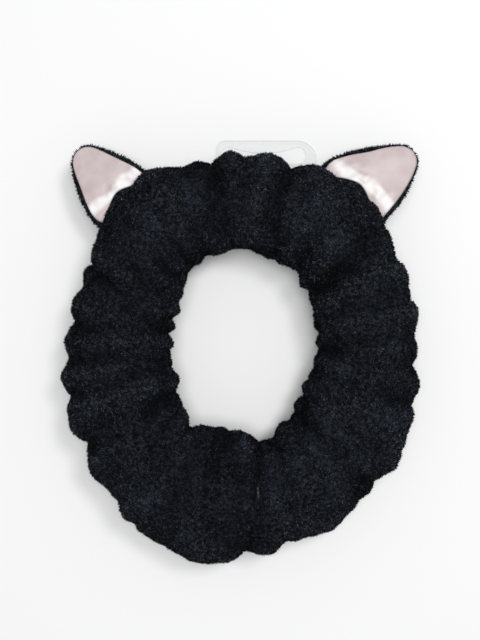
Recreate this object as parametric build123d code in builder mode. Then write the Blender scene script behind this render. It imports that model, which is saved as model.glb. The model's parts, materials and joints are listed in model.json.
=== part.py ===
from build123d import *
import os
from math import cos, degrees, radians, sin, sqrt

# Cat-ear headband: a gathered plush tube on an elastic loop, with two stuffed ears, lying flat.
# Origin: middle of the bounding box, on the table. +Z is the loop's own axis, +Y points to the
# crown where the ears stand, and the satin fronts of the ears face +Z. Millimetres.

# Centreline of the relaxed tube: an oval of tangent arcs, the same in each quarter
loop_half_width = 60.0
loop_half_height = 71.5
crown_radius = 70.0
crown_normal = 60.0  # direction of the oval's normal where the crown arc meets the corner arc
side_normal = 25.0  # and where the corner arc meets the side arc

# Tube section, seen along the centreline
tube_half_width = 26.0
nape_half_width = 34.8  # the gathers spread wider at the nape
tube_half_height = 25.5
tube_centre_z = 24.5  # lower than its half height, so the tube rests on a flat strip
cover_wall = 3.5
half_gap = 0.2  # half of the cut between the crown half and the nape half

# Elastic inside the tube
webbing_inset = 15.0
webbing_width = 25.0
webbing_thickness = 1.2
lap_length = 20.0
stitch = 0.5
seam_thread_radius = 0.4
seam_thread_inset = 20.0
seam_thread_drop = 8.0
cross_seam_angle = 276.0
stitches_across = 8
base_stitches = 9
base_stitch_height = 8.0

# Ears: a plush dish, a wadding pad inside it and a satin front laid on its rim
ear_gap = 2.2
ear_depth = 7.0
ear_floor = 3.0
ear_below = 4.5  # how far the plush back reaches below the ear's middle plane
ear_rim = 3.0
satin_inset = 2.0
satin_thickness = 1.0
ear_hinge_out = 5.5  # the fold line, out from the tube's face
ear_corner_radius = 2.5
ears = {
    # where the ear sits on the corner arc, half its base, where its tip would be if sharp,
    # and how far its two sides, towards the left and towards the right of its base, bow outwards
    "right": dict(seat=52.3, half_base=22.0, tip_along=13.4, tip_out=38.0, tip_radius=8.5,
                  bow=(4.4, 4.2)),
    "left": dict(seat=134.4, half_base=19.0, tip_along=1.6, tip_out=38.5, tip_radius=9.0,
                 bow=(4.0, 3.6)),
}

# Hang tab of clear sheet, hung on a nylon loop under the crown
tab_x = 12.3
tab_width = 52.5
tab_left_radius = 4.5
tab_right_radius = 10.5
tab_axis_y = 87.5
tab_axis_z = 2.9
tab_length = 21.3
tab_behind_axis = 0.5
tab_thickness = 0.6
tab_rim_thickness = 0.8
tab_rim_width = 1.6
slot_width = 44.4
slot_height = 9.0
slot_x = -1.5
slot_centre = 13.5
tongue_radius = 50.0  # the slot's far edge dips in its middle
tongue_dip = 3.3
loop_radius = 2.5
loop_wire = 0.35
tab_hole_radius = 1.3
t_bar_length = 8.0
t_bar_radius = 0.5
t_bar_z = 9.6

# The two radii that close the oval follow from its width and height
a, b = radians(90 - crown_normal), radians(90 - side_normal)
want_x = loop_half_width - crown_radius * sin(a)
want_y = loop_half_height - crown_radius * (1 - cos(a))
m_xc, m_xs = sin(b) - sin(a), 1 - sin(b)
m_yc, m_ys = cos(a) - cos(b), cos(b)
determinant = m_xc * m_ys - m_xs * m_yc
corner_radius = (want_x * m_ys - m_xs * want_y) / determinant
side_radius = (m_xc * want_y - want_x * m_yc) / determinant
corner_x = (crown_radius - corner_radius) * cos(radians(crown_normal))
corner_y = loop_half_height - crown_radius
corner_y += (crown_radius - corner_radius) * sin(radians(crown_normal))
side_x = loop_half_width - side_radius
print("corner arc", round(corner_radius, 2), "side arc", round(side_radius, 2))

os.makedirs("parts", exist_ok=True)


def save(piece, name):
    piece.label = name
    export_step(piece, f"parts/{name}.step")


def half_loop(up):
    """Five tangent arcs over the crown (up = 1) or the nape (up = -1), from +X round to -X."""
    with BuildLine() as line:
        s, c = side_normal, crown_normal
        CenterArc((side_x, 0), side_radius, 0, up * s)
        CenterArc((corner_x, up * corner_y), corner_radius, up * s, up * (c - s))
        CenterArc((0, up * (loop_half_height - crown_radius)), crown_radius, up * c,
                  up * (180 - 2 * c))
        CenterArc((-corner_x, up * corner_y), corner_radius, up * (180 - c), up * (c - s))
        CenterArc((-side_x, 0), side_radius, up * (180 - s), up * s)
    return line.wire()


def tube_solid(path, widths_at, inset):
    """The tube, or the space inside it, swept through a section at each plane given."""
    with BuildPart() as tube:
        with BuildLine(Plane.XY.offset(tube_centre_z)):
            add(path)
        for plane, half_width in widths_at:
            with BuildSketch(plane):
                Ellipse(half_width - inset, tube_half_height - inset)
        sweep(multisection=len(widths_at) > 1)
    return tube.part


right_plane = Plane((loop_half_width, 0, tube_centre_z), x_dir=(1, 0, 0), z_dir=(0, -1, 0))
left_plane = Plane((-loop_half_width, 0, tube_centre_z), x_dir=(-1, 0, 0), z_dir=(0, 1, 0))
nape_plane = Plane((0, -loop_half_height, tube_centre_z), x_dir=(0, -1, 0), z_dir=(-1, 0, 0))
crown_widths = [(right_plane, tube_half_width)]
nape_widths = [(right_plane, tube_half_width), (nape_plane, nape_half_width),
               (left_plane, tube_half_width)]

# Cover, crown half: the plush tube that carries the ears
with BuildPart() as cover_crown:
    add(tube_solid(half_loop(1), crown_widths, 0))
    add(tube_solid(half_loop(1), crown_widths, cover_wall), mode=Mode.SUBTRACT)
    split(bisect_by=Plane.XY, keep=Keep.TOP)
    split(bisect_by=Plane.XZ.offset(-half_gap), keep=Keep.BOTTOM)
save(cover_crown.part, "cover_crown")

# Cover, nape half: the same tube, wider at the back of the neck
with BuildPart() as cover_nape:
    add(tube_solid(half_loop(-1), nape_widths, 0))
    add(tube_solid(half_loop(-1), nape_widths, cover_wall), mode=Mode.SUBTRACT)
    split(bisect_by=Plane.XY, keep=Keep.TOP)
    split(bisect_by=Plane.XZ.offset(half_gap), keep=Keep.TOP)
save(cover_nape.part, "cover_nape")

# Long seam of each half: a run of thread inside the cover, on the side towards the head
def seam_thread(path, keep, name):
    with BuildPart() as thread:
        with BuildLine(Plane.XY.offset(tube_centre_z)):
            add(path)
        with BuildSketch(right_plane):
            with Locations((-seam_thread_inset, -seam_thread_drop)):
                Circle(seam_thread_radius)
        sweep()
        split(bisect_by=Plane.XZ.offset(half_gap if keep == Keep.TOP else -half_gap), keep=keep)
    save(thread.part, name)


seam_thread(half_loop(1), Keep.BOTTOM, "crown_seam_thread")
seam_thread(half_loop(-1), Keep.TOP, "nape_seam_thread")

# Cross seam: where the tube's two ends are sewn together, a ring of thread inside the cover
seam_direction = Vector(cos(radians(cross_seam_angle)), sin(radians(cross_seam_angle)))
seam_plane = Plane(seam_direction * loop_half_height + Vector(0, 0, tube_centre_z),
                   x_dir=seam_direction, z_dir=seam_direction.cross(Vector(0, 0, 1)))
ring_width = tube_half_width - cover_wall - 0.5
ring_height = tube_half_height - cover_wall - 0.5
with BuildPart() as cross_seam_thread:
    with BuildSketch(seam_plane):
        Ellipse(ring_width, ring_height)
        Ellipse(ring_width - 2 * seam_thread_radius, ring_height - 2 * seam_thread_radius,
                mode=Mode.SUBTRACT)
        with Locations((-seam_thread_inset, -seam_thread_drop)):
            Circle(4 * seam_thread_radius, mode=Mode.SUBTRACT)
    extrude(amount=seam_thread_radius, both=True)
save(cross_seam_thread.part, "cross_seam_thread")

# Elastic webbing: one flat loop, its ends lapped over each other at the crown
crown_plane = Plane((0, loop_half_height, tube_centre_z), x_dir=(0, 1, 0), z_dir=(1, 0, 0))
lap_half_turn = degrees(lap_length / 2 / (crown_radius - webbing_inset))
with BuildPart() as elastic_webbing:
    for up in (1, -1):
        with BuildLine(Plane.XY.offset(tube_centre_z)):
            add(half_loop(up))
        with BuildSketch(right_plane):
            with Locations((-webbing_inset, 0)):
                Rectangle(webbing_thickness, webbing_width)
        sweep()
    lap_axis = Axis((0, loop_half_height - crown_radius, 0), (0, 0, 1))
    for turn in (lap_half_turn, -lap_half_turn):
        with BuildSketch(crown_plane):
            with Locations((-webbing_inset - webbing_thickness, 0)):
                Rectangle(webbing_thickness, webbing_width)
        revolve(axis=lap_axis, revolution_arc=turn)
save(elastic_webbing.part, "elastic_webbing")

# Its join: zigzag stitches lying on the lap, in two rows
lap_face_radius = crown_radius - webbing_inset - 1.5 * webbing_thickness
with BuildPart() as elastic_join_thread:
    stitch_planes = []
    for row in (-0.6 * lap_half_turn, 0.6 * lap_half_turn):
        for k in range(stitches_across):
            across = (k + 0.5) / stitches_across - 0.5
            direction = radians(90 + row + (k % 2 - 0.5) * 2.0)
            place = Vector(cos(direction), sin(direction)) * (lap_face_radius - stitch / 2)
            place += Vector(0, loop_half_height - crown_radius, tube_centre_z)
            place += Vector(0, 0, across * (webbing_width - 4))
            stitch_planes.append(Plane(place, x_dir=(0, 0, 1),
                                       z_dir=(cos(direction), sin(direction), 0)))
    with Locations(*stitch_planes):
        Box(stitch * 3, stitch, stitch * 0.8)
save(elastic_join_thread.part, "elastic_join_thread")


# Ears
outer_radius = corner_radius + tube_half_width  # of the tube's outer face where the ears sit


def at_seat(ear, reach, up, turn=0.0):
    """A point off the corner arc's centre, in the direction of the ear's seat turned by turn."""
    direction = radians(ear["seat"]) + turn
    centre_x = corner_x if ear["seat"] < 90 else -corner_x
    return Vector(centre_x + reach * cos(direction), corner_y + reach * sin(direction),
                  tube_centre_z + up)


def ear_plane(ear, up):
    """On the tube's outer face where the ear sits: x along the base, y outwards, z up."""
    seat = radians(ear["seat"])
    return Plane(at_seat(ear, outer_radius, up), x_dir=(sin(seat), -cos(seat), 0),
                 z_dir=(0, 0, 1))


def ear_outline(ear, inset):
    """Bowed triangle whose base is hollowed to follow the tube, drawn smaller by inset."""
    half = ear["half_base"]
    tip = Vector(ear["tip_along"], ear["tip_out"])
    hollow_radius = outer_radius + ear_gap
    sag = hollow_radius - sqrt(hollow_radius**2 - half**2)
    with BuildSketch() as outline:
        for hand, bow, mode in zip((-1, 1), ear["bow"], (Mode.ADD, Mode.INTERSECT)):
            corner = Vector(hand * half, ear_gap - sag)
            flank = tip - corner
            bow_radius = (flank.length**2 / 4 + bow**2) / (2 * bow)
            outwards = Vector(flank.Y, -flank.X).normalized() * hand
            with Locations((tip + corner) / 2 - outwards * (bow_radius - bow)):
                Circle(bow_radius - inset, mode=mode)
        with Locations((0, -outer_radius)):
            Circle(hollow_radius + inset, mode=Mode.SUBTRACT)
        fillet(outline.vertices().sort_by(Axis.Y)[-1], ear["tip_radius"] - inset)
        fillet(outline.vertices().sort_by(Axis.Y)[:2], max(ear_corner_radius - inset, 0.4))
    return outline.sketch


for side, ear in ears.items():
    fold_line = ear_plane(ear, 0)
    fold_point = at_seat(ear, outer_radius + ear_hinge_out, 0)
    print(side, "ear folds about", fold_point, "along", fold_line.x_dir)

    with BuildPart() as ear_back:
        with BuildSketch(ear_plane(ear, -ear_below)):
            add(ear_outline(ear, 0))
        extrude(amount=ear_depth)
        fillet(ear_back.faces().sort_by(Axis.Z)[0].edges(), 2.4)
        fillet(ear_back.faces().sort_by(Axis.Z)[-1].edges(), 1.0)
        with BuildSketch(ear_plane(ear, ear_floor - ear_below)):
            add(ear_outline(ear, ear_rim))
        extrude(amount=ear_depth - ear_floor, mode=Mode.SUBTRACT)
    save(ear_back.part, f"{side}_ear_back")

    with BuildPart() as ear_pad:
        with BuildSketch(ear_plane(ear, ear_floor - ear_below)):
            add(ear_outline(ear, ear_rim))
        extrude(amount=ear_depth - ear_floor)
    save(ear_pad.part, f"{side}_ear_pad")

    ear_top = ear_depth - ear_below
    with BuildPart() as ear_front:
        with BuildSketch(ear_plane(ear, ear_top)):
            add(ear_outline(ear, satin_inset))
        extrude(amount=satin_thickness)
        fillet(ear_front.faces().sort_by(Axis.Z)[-1].edges(), 0.6)
    save(ear_front.part, f"{side}_ear_front")

    with BuildPart() as edge_thread:
        with BuildSketch(ear_plane(ear, ear_top)):
            add(ear_outline(ear, satin_inset - 0.7))
            add(ear_outline(ear, satin_inset - 0.1), mode=Mode.SUBTRACT)
        extrude(amount=stitch)
    save(edge_thread.part, f"{side}_ear_edge_thread")

    # whip stitches on the tube, in a row above and a row below the ear's base
    with BuildPart() as base_thread:
        stitch_planes = []
        for row in (-1, 1):
            for k in range(base_stitches):
                along = ((k + 0.5) / base_stitches - 0.5) * 1.6 * ear["half_base"]
                drop = row * base_stitch_height
                turn = -along / outer_radius
                flank = sqrt(1 - (drop / tube_half_height) ** 2) * tube_half_width
                place = at_seat(ear, corner_radius + flank, drop, turn)
                out = (at_seat(ear, 1, 0, turn) - at_seat(ear, 0, 0, turn)).normalized()
                normal = out * (flank / tube_half_width**2)
                normal = (normal + Vector(0, 0, drop / tube_half_height**2)).normalized()
                stitch_planes.append(Plane(place + normal * stitch * 0.9,
                                           x_dir=out.cross(Vector(0, 0, 1)), z_dir=normal))
        with Locations(*stitch_planes):
            Box(stitch, stitch * 6, stitch)
    save(base_thread.part, f"{side}_ear_base_thread")

# Hang tab: clear sheet with a raised rim and a hang slot, tilted so its far edge rests on the table
fall = (tab_axis_z - tab_rim_thickness / 2) / tab_length
tab_plane = Plane((tab_x, tab_axis_y, tab_axis_z), x_dir=(1, 0, 0),
                  z_dir=(0, fall, sqrt(1 - fall**2)))


def tab_outline(inset):
    with BuildSketch() as outline:
        with Locations((0, (tab_length - tab_behind_axis) / 2)):
            Rectangle(tab_width, tab_length + tab_behind_axis)
        corners = outline.vertices().sort_by(Axis.Y)
        fillet(corners[:2], 3.0)
        far = outline.vertices().group_by(Axis.Y)[-1].sort_by(Axis.X)
        fillet(far[0], tab_left_radius)
        fillet(outline.vertices().group_by(Axis.Y)[-1].sort_by(Axis.X)[-1], tab_right_radius)
        if inset:
            offset(amount=-inset, mode=Mode.REPLACE)
    return outline.sketch


with BuildPart() as hang_tab:
    with BuildSketch(tab_plane):
        add(tab_outline(0))
    extrude(amount=tab_rim_thickness / 2, both=True)
    for level in (-1, 1):
        with BuildSketch(tab_plane.offset(level * tab_thickness / 2)):
            add(tab_outline(tab_rim_width))
        extrude(amount=level * tab_rim_thickness, mode=Mode.SUBTRACT)
    with BuildSketch(tab_plane.offset(-tab_rim_thickness)):
        with Locations((slot_x, slot_centre)):
            SlotOverall(slot_width, slot_height)
        with Locations((slot_x, slot_centre + slot_height / 2 - tongue_dip + tongue_radius)):
            Circle(tongue_radius, mode=Mode.SUBTRACT)
        with Locations((0, loop_radius)):
            Circle(tab_hole_radius)
    extrude(amount=2 * tab_rim_thickness, mode=Mode.SUBTRACT)
save(hang_tab.part, "hang_tab")

# Tag pin: a nylon loop through the tab's hole, its shank through the cover to a T-bar inside
pin_centre = (tab_x, tab_axis_y, tab_axis_z)
with BuildPart() as tag_pin:
    with Locations(Plane(pin_centre, x_dir=(0, 1, 0), z_dir=(1, 0, 0))):
        Torus(loop_radius, loop_wire)
    with BuildSketch(Plane.XY.offset(tab_axis_z + loop_radius)):
        with Locations((tab_x, tab_axis_y)):
            Circle(loop_wire)
    extrude(amount=t_bar_z - tab_axis_z - loop_radius)
    with BuildSketch(Plane.YZ.offset(tab_x - t_bar_length / 2)):
        with Locations((tab_axis_y, t_bar_z)):
            Circle(t_bar_radius)
    extrude(amount=t_bar_length)
save(tag_pin.part, "tag_pin")
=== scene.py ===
import json
from math import pi, radians

import bmesh
import bpy
import numpy as np
from mathutils import Matrix, Vector, noise
from mathutils.bvhtree import BVHTree


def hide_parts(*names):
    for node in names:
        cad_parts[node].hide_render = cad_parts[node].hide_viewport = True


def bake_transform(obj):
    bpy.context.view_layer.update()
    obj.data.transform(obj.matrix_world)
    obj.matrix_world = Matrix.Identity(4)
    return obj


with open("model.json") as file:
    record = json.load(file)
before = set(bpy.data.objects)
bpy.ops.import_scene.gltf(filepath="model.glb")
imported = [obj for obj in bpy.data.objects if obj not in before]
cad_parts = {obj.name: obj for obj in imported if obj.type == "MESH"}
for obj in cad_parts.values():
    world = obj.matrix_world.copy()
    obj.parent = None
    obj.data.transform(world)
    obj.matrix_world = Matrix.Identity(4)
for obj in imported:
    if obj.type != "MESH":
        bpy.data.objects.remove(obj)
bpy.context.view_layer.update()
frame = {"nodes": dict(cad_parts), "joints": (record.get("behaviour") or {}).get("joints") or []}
mm = 0.001


# ---------- small helpers

def linear(hexCode, alpha=1.0):
    # sRGB hex to the linear colour that a shader socket takes
    parts = [int(hexCode[i:i + 2], 16) / 255 for i in (1, 3, 5)]
    parts = [v / 12.92 if v <= 0.04045 else ((v + 0.055) / 1.055) ** 2.4 for v in parts]
    return (*parts, alpha)


def put(tree, kind, values=None, links=None, stops=None, **settings):
    # one shader node: its settings, its socket values and what is linked into it
    node = tree.nodes.new("ShaderNode" + kind)
    for key, value in settings.items():
        setattr(node, key, value)
    for key, value in (values or {}).items():
        node.inputs[key].default_value = value
    for key, source in (links or {}).items():
        tree.links.new(source, node.inputs[key])
    if stops:
        ramp = node.color_ramp
        while len(ramp.elements) < len(stops):
            ramp.elements.new(0.5)
        for element, (place, colour) in zip(ramp.elements, stops):
            element.position, element.color = place, colour
    return node


def startMaterial(name):
    made = bpy.data.materials.new(name)
    made.use_nodes = True
    tree = made.node_tree
    return made, tree, tree.nodes["Principled BSDF"]


def setSockets(shader, values):
    for key, value in values.items():
        shader.inputs[key].default_value = value


def grains(size):
    # noise scale whose features are about this many millimetres
    return 1 / (size * mm)


def finish(piece, material, smooth=True):
    piece.data.materials.clear()
    piece.data.materials.append(material)
    for face in piece.data.polygons:
        face.use_smooth = smooth
    return piece


def newPiece(name, build):
    # build is a bmesh, closed and pointing outwards by the time it comes here
    mesh = bpy.data.meshes.new(name)
    build.to_mesh(mesh)
    build.free()
    piece = bpy.data.objects.new(name, mesh)
    bpy.context.scene.collection.objects.link(piece)
    return piece


def softStep(low, high, value):
    t = np.clip((value - low) / (high - low), 0, 1)
    return t * t * (3 - 2 * t)


rayStart = 0.5  # degrees, which clears the gap between the cover's halves
rayLength = 0.5  # metres, further than the object reaches


def outlineOf(nodes, middle, along, out):
    # where rays from the middle enter these CAD solids and where they leave them, in mm,
    # one ray for each degree round the middle
    corners, faces = [], []
    for node in nodes:
        mesh = frame["nodes"][node].data
        start = len(corners)
        corners += [v.co.copy() for v in mesh.vertices]
        faces += [[start + i for i in face.vertices] for face in mesh.polygons]
    tree = BVHTree.FromPolygons(corners, faces)
    inside, outside = [], []
    for degree in range(360):
        turned = radians(degree + rayStart)
        ray = along * np.cos(turned) + out * np.sin(turned)
        near = tree.ray_cast(middle, ray)[0]
        far = tree.ray_cast(middle + ray * rayLength, -ray)[0]
        inside.append((near - middle).length / mm)
        outside.append((far - middle).length / mm)
    return np.array(inside), np.array(outside)


def atDirection(values, direction):
    return np.interp(direction, np.arange(360) + rayStart, values, period=360)


def turnBetween(direction, other):
    # the angle between two directions, 0 to 180 degrees
    return np.abs(np.mod(direction - other + 180, 360) - 180)


# ---------- camera, light and floor

studio = {
    "lookAt": (-0.0015, 0.015, 0.025),  # a little towards the crown
    "viewHeight": 0.320,  # of the plane looked at
    "lens": 60,
    "keyPlace": (0.40, 0.36, 1.30), "keySize": 0.34, "keyPower": 5.6,  # towards the top right
    "overheadPlace": (0, 0.05, 1.7), "overheadSize": 0.8, "overheadPower": 14.5,
    "lampsAimAt": (0, 0, 0.02),
    "airStrength": 0.40,
    "floorHalf": 3.0,
}


def setStudio():
    scene = bpy.context.scene
    camera = bpy.data.objects.new("camera", bpy.data.cameras.new("camera"))
    camera.data.lens = studio["lens"]
    distance = studio["viewHeight"] * studio["lens"] / camera.data.sensor_width
    camera.location = Vector(studio["lookAt"]) + Vector((0, 0, distance))
    scene.collection.objects.link(camera)
    scene.camera = camera

    lamps = {
        "key": (studio["keyPlace"], studio["keySize"], studio["keyPower"]),
        "overhead": (studio["overheadPlace"], studio["overheadSize"],
                     studio["overheadPower"]),
    }
    for name, (place, size, power) in lamps.items():
        lamp = bpy.data.objects.new(name, bpy.data.lights.new(name, "AREA"))
        lamp.data.shape, lamp.data.size, lamp.data.energy = "DISK", size, power
        lamp.location = place
        aim = Vector(studio["lampsAimAt"]) - lamp.location
        lamp.rotation_euler = aim.to_track_quat("-Z", "Y").to_euler()
        scene.collection.objects.link(lamp)

    scene.world = bpy.data.worlds.new("studio")
    scene.world.use_nodes = True
    air = scene.world.node_tree.nodes["Background"].inputs
    air["Color"].default_value = linear("#fdfdff")
    air["Strength"].default_value = studio["airStrength"]
    scene.view_settings.view_transform = "Standard"

    build = bmesh.new()
    bmesh.ops.create_grid(build, x_segments=2, y_segments=2, size=studio["floorHalf"])
    floor = newPiece("floor", build)
    white, tree, shader = startMaterial("white laminate table")
    setSockets(shader, {"Base Color": linear("#eeeeee"), "Roughness": 0.6})
    floor.data.materials.append(white)


setStudio()
print("studio set")


# ---------- materials

def coralFleece(name, isPile):
    # polyester coral fleece, cut pile: black and clumped; on the pile its tips are painted pale, a
    # painted highlight where light grazes them
    made, tree, shader = startMaterial(name)
    place = put(tree, "TexCoord").outputs["Object"]
    clumps = put(tree, "TexNoise", {"Scale": grains(1.6), "Detail": 3.0, "Roughness": 0.6},
                 {"Vector": place})
    # painted shade and sheen: broad darker and lighter patches, about 22 mm across, stand in for the
    # shade of the folds and the sheen of the nap
    patches = put(tree, "TexNoise", {"Scale": grains(22), "Detail": 2.0}, {"Vector": place})
    shade = put(tree, "ValToRGB", stops=[(0.42, linear("#020304")), (0.62, linear("#31363f"))],
                links={"Fac": clumps.outputs["Fac"]})
    patchShadeAndSheen = put(tree, "ValToRGB", stops=[(0.35, linear("#08090c")), (0.65, linear("#252a32"))],
                links={"Fac": patches.outputs["Fac"]})
    # a colour mix takes its factor at 0 and its colours at 6 and 7, and gives it at 2
    tone = put(tree, "Mix", {0: 0.4}, data_type="RGBA")
    tree.links.new(shade.outputs["Color"], tone.inputs[6])
    tree.links.new(patchShadeAndSheen.outputs["Color"], tone.inputs[7])
    colour = tone.outputs[2]
    if isPile:
        # the tone attribute is 0 at every tuft's root, a painted shade, and at its tip the tuft's own
        # tone, the pale tips a painted highlight; 1 is a pale lint speck
        tuft = put(tree, "Attribute", attribute_name="tuftToneRootShade")
        shades = [(0.0, "#020203"), (0.22, "#0d1014"), (0.42, "#353b44"), (0.93, "#858d9a"),
                  (1.0, "#c2c6cb")]
        tip = put(tree, "ValToRGB", stops=[(at, linear(shade)) for at, shade in shades],
                  links={"Fac": tuft.outputs["Fac"]})
        tone = put(tree, "Mix", {0: 0.8}, data_type="RGBA")
        tree.links.new(colour, tone.inputs[6])
        tree.links.new(tip.outputs["Color"], tone.inputs[7])
        colour = tone.outputs[2]
    # painted shade: the pile's colour is darkened where the cloth is drawn into creases, standing in
    # for the shade that falls there, and left lighter where it is stretched
    valley = put(tree, "Attribute", attribute_name="valley")
    shadow = put(tree, "ValToRGB", stops=[(0.3, (1, 1, 1, 1)), (0.8, (0.2, 0.2, 0.22, 1))],
                 links={"Fac": valley.outputs["Fac"]})
    shaded = put(tree, "Mix", {0: 1.0}, {6: colour, 7: shadow.outputs["Color"]},
                 data_type="RGBA", blend_type="MULTIPLY")
    tree.links.new(shaded.outputs[2], shader.inputs["Base Color"])
    fibres = put(tree, "TexNoise", {"Scale": grains(0.45), "Detail": 2.0}, {"Vector": place})
    bump = put(tree, "Bump", {"Strength": 0.5, "Distance": 0.4 * mm},
               {"Height": fibres.outputs["Fac"]})
    tree.links.new(bump.outputs["Normal"], shader.inputs["Normal"])
    setSockets(shader, {"Roughness": 0.9, "Specular IOR Level": 0.08, "Sheen Weight": 0.05,
                        "Sheen Roughness": 0.4, "Sheen Tint": linear("#9aa0b4")})
    return made


def satinWeave():
    # polyester satin, dusty pink: long floats give a soft streak of gloss along the ear
    made, tree, shader = startMaterial("dusty pink polyester satin")
    place = put(tree, "TexCoord").outputs["Object"]
    floats = put(tree, "TexWave", {"Scale": grains(0.5) / 6.3, "Distortion": 0.6, "Detail": 1.0},
                 {"Vector": place}, bands_direction="DIAGONAL")
    cloud = put(tree, "TexNoise", {"Scale": grains(7), "Detail": 2.0}, {"Vector": place})
    tint = put(tree, "ValToRGB", stops=[(0.3, linear("#bbabac")), (0.7, linear("#c8bab9"))],
               links={"Fac": cloud.outputs["Fac"]})
    # painted highlight: where it is gathered over the seam the colour is painted nearly white, standing
    # in for the gloss its folds catch
    gathered = put(tree, "Attribute", attribute_name="gathered")
    folds = put(tree, "TexNoise", {"Scale": grains(9), "Detail": 0.0}, {"Vector": place})
    share = put(tree, "Math", operation="ADD",
                links={0: gathered.outputs["Fac"], 1: folds.outputs["Fac"]})
    paintedHighlight = put(tree, "MapRange", {"From Min": 0.95, "From Max": 1.5, "To Max": 0.9},
                 {"Value": share.outputs["Value"]}, interpolation_type="SMOOTHSTEP")
    tone = put(tree, "Mix", {7: linear("#f1eeee")}, data_type="RGBA",
               links={0: paintedHighlight.outputs["Result"], 6: tint.outputs["Color"]})
    tree.links.new(tone.outputs[2], shader.inputs["Base Color"])
    bump = put(tree, "Bump", {"Strength": 0.12, "Distance": 0.1 * mm},
               {"Height": floats.outputs["Fac"]})
    tree.links.new(bump.outputs["Normal"], shader.inputs["Normal"])
    rough = put(tree, "MapRange", {"To Min": 0.34, "To Max": 0.48},
                {"Value": cloud.outputs["Fac"]})
    tree.links.new(rough.outputs["Result"], shader.inputs["Roughness"])
    setSockets(shader, {"Specular IOR Level": 0.4, "Anisotropic": 0.5, "Sheen Weight": 0.1,
                        "Sheen Roughness": 0.3})
    return made


def spunThread(name, light, dark, twist=0.6):
    # spun polyester sewing thread: its plies show as a fine diagonal twist
    made, tree, shader = startMaterial(name)
    place = put(tree, "TexCoord").outputs["Object"]
    plies = put(tree, "TexWave", {"Scale": grains(twist) / 6.3, "Distortion": 0.4},
                {"Vector": place}, bands_direction="DIAGONAL")
    colour = put(tree, "ValToRGB", stops=[(0.1, linear(dark)), (0.9, linear(light))],
                 links={"Fac": plies.outputs["Fac"]})
    tree.links.new(colour.outputs["Color"], shader.inputs["Base Color"])
    bump = put(tree, "Bump", {"Strength": 0.5, "Distance": 0.1 * mm},
               {"Height": plies.outputs["Fac"]})
    tree.links.new(bump.outputs["Normal"], shader.inputs["Normal"])
    setSockets(shader, {"Roughness": 0.55, "Sheen Weight": 0.2})
    return made


def knittedElastic():
    # black knitted elastic: ribs 2.5 mm apart along its length, fine cross stitches between
    made, tree, shader = startMaterial("black knitted elastic")
    place = put(tree, "TexCoord").outputs["Object"]
    ribs = put(tree, "TexWave", {"Scale": grains(2.5) / 6.3, "Distortion": 0.2},
               {"Vector": place}, bands_direction="Z")
    knit = put(tree, "TexVoronoi", {"Scale": grains(0.8)}, {"Vector": place})
    colour = put(tree, "ValToRGB", stops=[(0.1, linear("#0c0c0e")), (0.9, linear("#2b2b30"))],
                 links={"Fac": ribs.outputs["Fac"]})
    tree.links.new(colour.outputs["Color"], shader.inputs["Base Color"])
    height = put(tree, "Math", operation="ADD")
    tree.links.new(ribs.outputs["Fac"], height.inputs[0])
    tree.links.new(knit.outputs["Distance"], height.inputs[1])
    bump = put(tree, "Bump", {"Strength": 0.7, "Distance": 0.3 * mm},
               {"Height": height.outputs["Value"]})
    tree.links.new(bump.outputs["Normal"], shader.inputs["Normal"])
    setSockets(shader, {"Roughness": 0.7})
    return made


def clearSheet():
    # clear PET sheet, die cut: nearly invisible flat on; its cut edges and rim are painted grey and
    # made more opaque by the way they face, standing in for the light they catch
    made, tree, shader = startMaterial("clear PET sheet")
    coordinates = put(tree, "TexCoord")
    haze = put(tree, "TexNoise", {"Scale": grains(6), "Detail": 4.0},
               {"Vector": coordinates.outputs["Object"]})
    rough = put(tree, "MapRange", {"To Min": 0.05, "To Max": 0.2},
                {"Value": haze.outputs["Fac"]})
    tree.links.new(rough.outputs["Result"], shader.inputs["Roughness"])
    # painted edge lines: faces turned sideways get grey colour and more opacity, flat ones stay near
    # white and clear
    facing = put(tree, "SeparateXYZ", links={"Vector": coordinates.outputs["Normal"]})
    flatness = put(tree, "Math", links={0: facing.outputs["Z"]}, operation="ABSOLUTE")
    cover = put(tree, "MapRange", {"From Min": 0.3, "From Max": 0.95, "To Min": 0.6,
                                   "To Max": 0.1}, {"Value": flatness.outputs["Value"]})
    tree.links.new(cover.outputs["Result"], shader.inputs["Alpha"])
    paintedEdgeLines = put(tree, "ValToRGB", stops=[(0.3, linear("#8f9799")), (0.95, linear("#f2f5f5"))],
               links={"Fac": flatness.outputs["Value"]})
    tree.links.new(paintedEdgeLines.outputs["Color"], shader.inputs["Base Color"])
    setSockets(shader, {"IOR": 1.57})
    return made


def milkyNylon():
    # injection-moulded nylon: milky, soft gloss
    made, tree, shader = startMaterial("milky nylon")
    place = put(tree, "TexCoord").outputs["Object"]
    flow = put(tree, "TexNoise", {"Scale": grains(2), "Detail": 2.0}, {"Vector": place})
    colour = put(tree, "ValToRGB", stops=[(0.3, linear("#dfe2e2")), (0.7, linear("#eff1f0"))],
                 links={"Fac": flow.outputs["Fac"]})
    tree.links.new(colour.outputs["Color"], shader.inputs["Base Color"])
    setSockets(shader, {"Roughness": 0.35, "IOR": 1.53, "Transmission Weight": 0.5})
    return made


fleece = coralFleece("black coral fleece", False)
fleecePile = coralFleece("black coral fleece pile", True)
satin = satinWeave()
blackThread = spunThread("black polyester thread", "#26272b", "#0a0a0c")
elastic = knittedElastic()
petSheet = clearSheet()
nylon = milkyNylon()
print("materials made")


# ---------- pile

pile = {
    "length": 1.5, "width": 0.42, "sunk": 0.35,  # mm, the width being the root's radius
    "tilt": 0.45, "nap": 0.5,  # how much a tuft leans by itself, and with its neighbours
    "napSize": 5.0, "lockSize": 1.7,  # mm
    "lint": 0.0012,  # the share of tufts that are pale specks
    "palest": 0.93,
}


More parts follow.
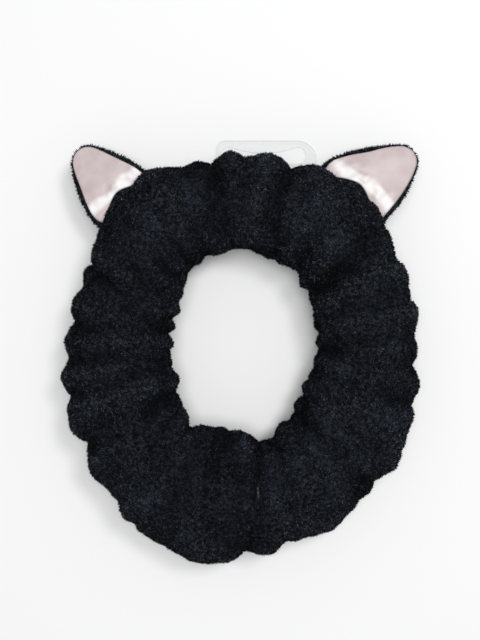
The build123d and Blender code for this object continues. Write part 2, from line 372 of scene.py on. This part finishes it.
def plantPile(name, ground, perSquareMm, wanted=None, length=None, seed=1):
    # tufts of cut pile, each a three-sided spike, planted over a piece's faces
    length = length or pile["length"]
    mesh = ground.data
    mesh.calc_loop_triangles()
    count = len(mesh.loop_triangles)
    corners = np.zeros(count * 3, np.int32)
    mesh.loop_triangles.foreach_get("vertices", corners)
    points = np.zeros(len(mesh.vertices) * 3, np.float32)
    mesh.vertices.foreach_get("co", points)
    normals = np.zeros(len(mesh.vertices) * 3, np.float32)
    mesh.vertices.foreach_get("normal", normals)
    points, normals = points.reshape(-1, 3).astype(float), normals.reshape(-1, 3).astype(float)
    corners = corners.reshape(-1, 3)
    a, b, c = (points[corners[:, k]] for k in range(3))
    area = np.linalg.norm(np.cross(b - a, c - a), axis=1) / 2
    if wanted is not None:
        area = area * wanted((a + b + c) / 3)
    draw = np.random.default_rng(seed)
    tufts = int(area.sum() / mm**2 * perSquareMm)
    chosen = draw.choice(count, tufts, p=area / area.sum())
    u, v = draw.random((2, tufts, 1))
    u, v = np.where(u + v > 1, 1 - u, u), np.where(u + v > 1, 1 - v, v)
    root = a[chosen] + u * (b - a)[chosen] + v * (c - a)[chosen]
    up = normals[corners[chosen]].mean(axis=1)
    up /= np.linalg.norm(up, axis=1)[:, None]
    # neighbours lean the same way, so the pile parts into small clumps
    lean = np.array([noise.noise_vector(Vector(p) * grains(pile["napSize"])) for p in root])
    lean = pile["nap"] * lean * 2 + pile["tilt"] * draw.normal(size=(tufts, 3))
    lean -= up * (lean * up).sum(1)[:, None]
    aim = up + lean
    aim /= np.linalg.norm(aim, axis=1)[:, None]
    side = np.cross(aim, draw.normal(size=(tufts, 3)))
    side /= np.linalg.norm(side, axis=1)[:, None]
    other = np.cross(aim, side)

    build = bmesh.new()
    bmesh.ops.create_cone(build, segments=3, radius1=1, radius2=0, depth=1, cap_ends=False)
    shape = np.array([v.co for v in build.verts]) + (0, 0, 0.5)
    sides = np.array([[v.index for v in f.verts] for f in build.faces])
    build.free()
    bottom = shape[:, 2] < 0.5
    tall = length * mm * draw.uniform(0.65, 1.25, tufts)
    wide = pile["width"] * mm * draw.uniform(0.75, 1.3, tufts)
    start = root - aim * pile["sunk"] * mm
    spread = (start[:, None] + side[:, None] * shape[None, :, :1] * wide[:, None, None]
              + other[:, None] * shape[None, :, 1:2] * wide[:, None, None]
              + aim[:, None] * shape[None, :, 2:] * tall[:, None, None])
    # fibres stick together in little locks; each tuft's tone mixes a random share with the lock noise,
    # partly the pile's own uneven tone and partly painted light on the locks' sides
    locks = np.array([noise.noise(Vector(p) * grains(pile["lockSize"])) for p in root])
    tone = np.clip(draw.beta(2.0, 3.4, tufts) + locks, 0.02, pile["palest"])
    tone[draw.random(tufts) < pile["lint"]] = 1.0
    # painted shade: every tuft is dark at its root, as if shaded by the tufts round it
    tonesShadedAtRoot = np.where(bottom[None], 0.0, tone[:, None])

    corner = (sides[None] + len(shape) * np.arange(tufts)[:, None, None]).reshape(-1)
    size = sides.shape[1]
    made = bpy.data.meshes.new(name)
    made.vertices.add(tufts * len(shape))
    made.vertices.foreach_set("co", spread.astype(np.float32).ravel())
    made.loops.add(len(corner))
    made.loops.foreach_set("vertex_index", corner.astype(np.int32))
    made.polygons.add(len(corner) // size)
    made.polygons.foreach_set("loop_start", np.arange(0, len(corner), size, dtype=np.int32))
    made.update(calc_edges=True)
    # the tufts take the cover's painted crease shade
    if "valley" in mesh.attributes:
        sunk = np.zeros(len(mesh.vertices), np.float32)
        mesh.attributes["valley"].data.foreach_get("value", sunk)
        sunk = np.repeat(sunk[corners[chosen]].mean(axis=1), len(shape))
        made.attributes.new("valley", "FLOAT", "POINT")
        made.attributes["valley"].data.foreach_set("value", sunk)
    made.attributes.new("tuftToneRootShade", "FLOAT", "POINT")
    made.attributes["tuftToneRootShade"].data.foreach_set("value", tonesShadedAtRoot.astype(np.float32).ravel())
    piece = bpy.data.objects.new(name, made)
    bpy.context.scene.collection.objects.link(piece)
    return piece


# ---------- the gathered plush cover

cover = {
    "rounds": 620,  # steps round the loop
    "ring": 120,  # steps round the tube
    "middle": 24.7,  # height of the tube's centre
    "halfHeight": 23.6,
    "floorGap": 1.1,  # pile under the tube holds the cloth off the table
    "pileStands": 0.8,  # so the cloth lies this far inside the CAD cover
    # where it lies fuller (+) or leaner (-) than an even ring: direction, half width, mm
    "outerSwells": [(5, 25, 3), (105, 20, 3), (185, 25, 4), (225, 15, -3), (255, 15, 3),
                    (300, 30, -6)],
    "innerSwells": [(30, 35, 2), (100, 15, 3), (230, 15, 5), (285, 15, 6)],
    # the gathers: how many round the loop, and the range of their depth in mm
    "outerGathers": 20, "outerDepth": (2.0, 4.5),
    "innerGathers": 26, "innerDepth": (1.5, 4.0),
    "softness": 4.0, "climb": (45, 80), "lean": 4, "gatherSeed": 4,
    # the ones that stand out: direction, depth, softness, how far it climbs, its lean (deg)
    "outerFolds": [(30, 4, 4, 60, 2), (75, 4, 3, 110, 0), (100, 6, 4, 120, -2),
                   (150, 5, 4, 70, 2), (170, 4, 4, 60, 3), (210, 6, 4, 65, 5),
                   (230, 5, 4, 60, 2), (270, 5, 4, 80, 3), (315, 5, 4, 65, -3),
                   (355, 4, 4, 60, -2)],
    "innerFolds": [(35, 3, 3, 60, 2), (70, 3, 3, 60, 0), (120, 3, 3, 60, 2),
                   (180, 3, 3, 60, 0), (235, 4, 3, 60, -2), (280, 5, 3, 85, -4),
                   (310, 4, 3, 65, 3)],
    "play": 0.35, "foldRoom": 7,  # a gather's play in shares of a step; degrees clear of a fold
    "outerRadius": 95, "innerRadius": 42,  # mm, where the gathers' widths are measured
    "noiseLoop": 65, "noiseTube": 25,  # mm, the plain ring that the noise is read on
    "noiseFlat": (6, 9),  # mm, a narrow ring, which makes the noise run over the tube
    "foldNoise": 3.0, "foldSize": 9,  # mm
    "dentNoise": 1.0, "dentSize": 5,
    "leastCreaseShade": 0.42,  # the painted crease shade where the cloth isn't drawn in
    "darkestDepth": 8.0,  # mm of drawing in at which the painted crease shade is darkest
    "roundness": 1.45,  # widens every crease, so the puffs between them are rounder
    # the cloth stays full round the tag's anchor: its place, and the reach of this in mm
    "anchorPlace": (12.3, 88.0, 6.0), "anchorReach": (13.0, 13.0, 9.0), "anchorBulge": 2.5,
    "stretchFrom": (0, 0.060, 0.0245),  # the ears sit above this and stay still
    "stretchTo": (0, -0.076, 0.0245),
    "footHeight": 35, "footSpread": 7, "footBulge": 3.2,  # mm, over the foot of each ear
    "floorEase": 4,  # mm above the lowest cloth at which it starts to flatten
    "fill": 0.45, "tuftsPerSquareMm": 1.7, "pileSeed": 11,
}
earZones = [(54, 17), (130, 15)]  # direction and half width of what the ears take, in degrees


def gathers(count, depth, folds, calm, seed):
    # evenly spaced with some play, leaving room for the folds and none under the ears
    draw = np.random.default_rng(seed)
    made = list(folds)
    for k in range(count):
        angle = (k + draw.uniform(-cover["play"], cover["play"])) * 360 / count
        one = (angle, draw.uniform(*depth), cover["softness"] * draw.uniform(0.8, 1.2),
               draw.uniform(*cover["climb"]), draw.uniform(-1, 1) * cover["lean"])
        crowded = any(turnBetween(angle, fold[0]) < cover["foldRoom"] for fold in folds)
        if not crowded and not any(turnBetween(angle, at) < width for at, width in calm):
            made.append(one)
    return made


def creaseDepth(creases, direction, section, home, radius):
    # how deep the cloth is drawn in, in mm: sharp valleys with round puffs between
    total = np.zeros_like(direction)
    away = turnBetween(section, home)
    for angle, depth, soft, climb, lean in creases:
        leaned = angle + lean * away / 90
        gap = turnBetween(direction, leaned) * radius * pi / 180
        valley = np.exp(-gap / (soft * cover["roundness"]))
        total += (depth * valley * np.exp(-(away / climb) ** 2)) ** 2
    return np.sqrt(total)


def gatheredCover():
    build = bmesh.new()
    bmesh.ops.create_circle(build, segments=cover["ring"], radius=0.5)
    bmesh.ops.rotate(build, verts=build.verts, cent=(0, 0, 0),
                     matrix=Matrix.Rotation(pi / 2, 3, "X"))
    bmesh.ops.translate(build, verts=build.verts, vec=(1, 0, 0))
    bmesh.ops.spin(build, geom=build.edges[:] + build.verts[:], cent=(0, 0, 0),
                   axis=(0, 0, 1), angle=2 * pi, steps=cover["rounds"], use_merge=True)
    bmesh.ops.remove_doubles(build, verts=build.verts, dist=1e-6)
    bmesh.ops.recalc_face_normals(build, faces=build.faces)
    piece = newPiece("plush_cover", build)
    mesh = piece.data
    at = np.zeros(len(mesh.vertices) * 3)
    mesh.vertices.foreach_get("co", at)
    at = at.reshape(-1, 3)
    direction = np.degrees(np.arctan2(at[:, 1], at[:, 0]))
    section = np.degrees(np.arctan2(at[:, 2], np.hypot(at[:, 0], at[:, 1]) - 1))
    inside, outside = outlineOf(["cover_crown", "cover_nape"],
                                Vector((0, 0, cover["middle"] * mm)), Vector((1, 0, 0)),
                                Vector((0, 1, 0)))
    outer = atDirection(outside, direction) - cover["pileStands"]
    inner = atDirection(inside, direction) + cover["pileStands"]
    for place, width, more in cover["outerSwells"]:
        outer += more * np.exp(-(turnBetween(direction, place) / width) ** 2)
    for place, width, more in cover["innerSwells"]:
        inner += more * np.exp(-(turnBetween(direction, place) / width) ** 2)
    outerCreases = gathers(cover["outerGathers"], cover["outerDepth"], cover["outerFolds"],
                           earZones, cover["gatherSeed"])
    innerCreases = gathers(cover["innerGathers"], cover["innerDepth"], cover["innerFolds"],
                           [], cover["gatherSeed"] + 1)
    centre, half = (outer + inner) / 2, (outer - inner) / 2
    drawn = np.hypot(creaseDepth(outerCreases, direction, section, 0,
                                 cover["outerRadius"]),
                     creaseDepth(innerCreases, direction, section, 180,
                                 cover["innerRadius"]))
    spin, turn = np.radians(direction), np.radians(section)
    loop, tube = cover["noiseLoop"], cover["noiseTube"]
    flatWide, flatTall = cover["noiseFlat"]
    plain = np.stack([loop * np.cos(spin), loop * np.sin(spin), flatTall * np.sin(turn)], 1)
    plain[:, :2] += flatWide * np.cos(turn)[:, None] * plain[:, :2] / loop
    folds = np.array([noise.noise(Vector(p) / cover["foldSize"]) for p in plain])
    solid = np.stack([np.cos(spin) * (loop + tube * np.cos(turn)),
                      np.sin(spin) * (loop + tube * np.cos(turn)), tube * np.sin(turn)], 1)
    dents = np.array([noise.noise(Vector(p) / cover["dentSize"]) for p in solid])
    drawn = drawn - cover["foldNoise"] * folds - cover["dentNoise"] * dents
    flat = centre + half * np.cos(turn)
    solid = np.stack([flat * np.cos(spin), flat * np.sin(spin),
                      cover["middle"] + cover["halfHeight"] * np.sin(turn)], 1)
    away = (solid - cover["anchorPlace"]) / cover["anchorReach"]
    full = np.exp(-(away ** 2).sum(1))
    drawn = drawn * (1 - full) - cover["anchorBulge"] * full
    reach = centre + (half - drawn) * np.cos(turn)
    height = cover["middle"] + (cover["halfHeight"] - drawn) * np.sin(turn)
    # the cloth bulges over the foot of each ear
    for angle, halfWidth in earZones:
        gap = turnBetween(direction, angle) / halfWidth
        near = np.exp(-((height - cover["footHeight"]) / cover["footSpread"]) ** 2)
        near = np.exp(-gap ** 4) * near * (np.cos(turn) > 0)
        reach += cover["footBulge"] * near
    # the underside flattens on the table
    low, ease = cover["floorGap"], cover["floorEase"]
    settled = low + ease * np.exp((height - low - ease) / ease)
    height = np.where(height < low + ease, settled, height)
    moved = np.stack([reach * np.cos(spin), reach * np.sin(spin), height], 1) * mm
    mesh.vertices.foreach_set("co", moved.ravel())
    mesh.update()
    # painted shade: how far the pile's colour is darkened in each crease, from how deep the cloth is
    # drawn in
    mesh.attributes.new("valley", "FLOAT", "POINT")
    sunk = np.clip(cover["leastCreaseShade"] + drawn / cover["darkestDepth"], 0, 1).astype(np.float32)
    mesh.attributes["valley"].data.foreach_set("value", sunk)
    return finish(piece, fleece)


coverPiece = gatheredCover()
print("cover gathered:", len(coverPiece.data.polygons), "faces")
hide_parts("cover_crown", "cover_nape")
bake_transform(coverPiece)

quarters = {"crown_right": (1, 1), "crown_left": (-1, 1), "nape_left": (-1, -1),
            "nape_right": (1, -1)}
for index, (quarter, (sx, sy)) in enumerate(quarters.items()):
    tufts = plantPile(f"plush_pile_{quarter}", coverPiece,
                      cover["tuftsPerSquareMm"], seed=cover["pileSeed"] + index,
                      wanted=lambda p: (p[:, 0] * sx >= 0) & (p[:, 1] * sy >= 0))
    finish(tufts, fleecePile, smooth=False)
    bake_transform(tufts)
    print("pile", quarter, len(tufts.data.polygons), "faces")


# ---------- ears

earFolds = {j["name"]: j for j in frame["joints"]}
ears = {
    # the middle of the ear, in mm from its fold; the direction of its tip; how it is seeded
    "left": {"middle": (0.5, 8.0), "tip": 88, "seed": 3},
    "right": {"middle": (1.0, 8.0), "tip": 55, "seed": 5},
}
ear = {
    "around": 120, "rows": 44,
    "sideRim": 2.6, "tipRim": 0.9, "tipSpread": 45,  # plush seen round the satin
    "rootStretch": 2.2,  # the base runs on into the cover
    "backDepth": 4.6, "rimHeight": 1.9,
    "satinEdge": 2.3, "satinCrown": 1.5, "satinFall": 0.045,
    "puckers": 0.4, "puckerGap": 9.0, "puckerReach": 4.8, "puckerLine": -0.3,
    "pileLength": 1.7, "pileStands": 0.4,
    "bendFrom": -7.0, "bendTo": 8.0,
    "castDrop": 1.0,  # mm under the fold, where the CAD back is at its full outline
    "dishFrom": 0.62, "dishTo": 0.88,  # shares of the reach between which the edge rolls up
    "satinThickness": 0.4, "satinLeast": 0.3,
    "overlap": 0.1, "backBelow": 0.5,
    "backFill": 0.7, "satinFill": 0.6, "tuftsPerSquareMm": 2.4,
}


up = Vector((0, 0, 1))


def earAxes(side):
    # the middle of the ear's fold line, the fold's direction, and out from the tube
    fold = earFolds[f"{side}_ear_fold"]
    along = Vector(fold["axis"]).normalized()
    return Vector(fold["pos_m"]), along, up.cross(along)


def toBand(side, local):
    # local millimetres of an ear to the frame
    along, out = earAxes(side)[1:]
    axes = np.array([along, out, up])
    return np.array(earFolds[f"{side}_ear_fold"]["pos_m"]) + local @ axes * mm


outlines = {}
for side, one in ears.items():
    root, along, out = earAxes(side)
    middle = root + (along * one["middle"][0] + out * one["middle"][1]) * mm
    outlines[side] = outlineOf([f"{side}_ear_back"], middle - up * ear["castDrop"] * mm,
                               along, out)[1]


def rimWidth(side, direction):
    # how much plush shows round the satin: narrower at the tip
    toTip = np.exp(-(turnBetween(direction, ears[side]["tip"]) / ear["tipSpread"]) ** 2)
    return ear["sideRim"] + (ear["tipRim"] - ear["sideRim"]) * toTip


def pillow(name, side, profile, shrink=0.0, satinRim=False):
    # a ball flattened into the ear's outline; profile gives the height at each share of the reach
    build = bmesh.new()
    bmesh.ops.create_uvsphere(build, u_segments=ear["around"], v_segments=ear["rows"], radius=1)
    piece = newPiece(name, build)
    at = np.zeros(len(piece.data.vertices) * 3)
    piece.data.vertices.foreach_get("co", at)
    at = at.reshape(-1, 3)
    angle = np.arctan2(at[:, 1], at[:, 0])
    share = 1 - np.abs(np.arcsin(np.clip(at[:, 2], -1, 1))) / (pi / 2)
    middle = ears[side]["middle"]
    flat = (atDirection(outlines[side], np.degrees(angle)) - shrink) * share
    if satinRim:
        flat = flat - rimWidth(side, np.degrees(angle)) * share
    across = middle[0] + flat * np.cos(angle)
    along = middle[1] + flat * np.sin(angle)
    along = np.where(along < 0, along * ear["rootStretch"], along)
    local = np.stack([across, along, profile(share, at[:, 2] >= 0, across, along)], 1)
    piece.data.vertices.foreach_set("co", toBand(side, local).ravel())
    piece.data.update()
    return piece, across, along


def backProfile(share, front, across, along):
    roll = ear["rimHeight"] * np.sqrt(1 - share ** 8)
    dish = roll * (0.1 + 0.9 * softStep(ear["dishFrom"], ear["dishTo"], share))
    return np.where(front, dish, -ear["backDepth"] * np.sqrt(1 - share ** 3.5))


def satinProfile(share, front, across, along):
    # crowned by the pad, falling towards the tip, drawn into puckers where it is sewn down
    crown = ear["satinCrown"] * (1 - share ** 2) ** 0.8
    near = np.exp(-((along - ear["puckerLine"]) / ear["puckerReach"]) ** 2)
    wave = np.sin((across + 0.25 * along) / ear["puckerGap"] * 2 * pi)
    wave += 0.5 * np.sin((across - 0.4 * along) / ear["puckerGap"] * 3.3 * pi + 1)
    gather = ear["puckers"] * near * wave * (1 - share ** 6)
    fall = ear["satinFall"] * (along - ear["bendTo"])
    top = ear["satinEdge"] + crown + gather - fall
    low = ear["satinEdge"] - ear["satinThickness"] - fall
    return np.where(front, np.maximum(top, low + ear["satinLeast"]), low)


def outsideSatin(side, points):
    # 1 on the back and the rolled edge, 0 where the satin lies on the plush
    along, out = earAxes(side)[1:]
    axes = np.array([along, out, up])
    local = (points - np.array(earFolds[f"{side}_ear_fold"]["pos_m"])) @ axes.T / mm
    flat = local[:, :2] - ears[side]["middle"]
    angle = np.degrees(np.arctan2(flat[:, 1], flat[:, 0]))
    # then the root's stretch is undone
    local[:, 1] = np.where(local[:, 1] < 0, local[:, 1] / ear["rootStretch"], local[:, 1])
    flat = local[:, :2] - ears[side]["middle"]
    beyond = np.hypot(flat[:, 0], flat[:, 1]) - atDirection(outlines[side], angle)
    beyond += rimWidth(side, angle)
    return (beyond > -ear["overlap"]) | (local[:, 2] < -ear["backBelow"])


for side, one in ears.items():
    back, across, along = pillow(f"{side}_ear_plush", side, backProfile, ear["pileStands"])
    finish(back, fleece)
    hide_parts(f"{side}_ear_back", f"{side}_ear_pad")
    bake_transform(back)
    fuzz = plantPile(f"{side}_ear_pile", back, ear["tuftsPerSquareMm"],
                     length=ear["pileLength"], seed=one["seed"], wanted=lambda p: outsideSatin(side, p))
    finish(fuzz, fleecePile, smooth=False)
    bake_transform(fuzz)
    front, across, along = pillow(f"{side}_ear_satin", side, satinProfile, satinRim=True)
    # painted highlight: how much of it each point near the seam takes
    highlightNearSeam = np.exp(-((along - ear["puckerLine"]) / ear["puckerReach"]) ** 2)
    front.data.attributes.new("gathered", "FLOAT", "POINT")
    front.data.attributes["gathered"].data.foreach_set("value", highlightNearSeam.astype(np.float32))
    finish(front, satin)
    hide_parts(f"{side}_ear_front", f"{side}_ear_edge_thread")
    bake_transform(front)
    print(side, "ear made")


# ---------- what the cover hides, and the hang tab

def softCopy(node, name, material):
    # a CAD node's own shape, merged
    mesh = frame["nodes"][node].data
    build = bmesh.new()
    build.from_mesh(mesh)
    bmesh.ops.remove_doubles(build, verts=build.verts, dist=1e-6)
    bmesh.ops.dissolve_limit(build, angle_limit=radians(1), verts=build.verts,
                             edges=build.edges)
    bmesh.ops.triangulate(build, faces=build.faces)
    piece = finish(newPiece(name, build), material, smooth=False)
    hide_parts(node)
    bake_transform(piece)


softCopy("elastic_webbing", "elastic_band", elastic)
softCopy("crown_seam_thread", "crown_seam", blackThread)
softCopy("nape_seam_thread", "nape_seam", blackThread)
carried = {
    "cross_seam_thread": blackThread, "elastic_join_thread": blackThread,
    "left_ear_base_thread": blackThread, "right_ear_base_thread": blackThread,
    "hang_tab": petSheet, "tag_pin": nylon,
}
for node, material in carried.items():
    thing = frame["nodes"][node]
    thing.data.materials.clear()
    thing.data.materials.append(material)
print("carried-over parts finished")
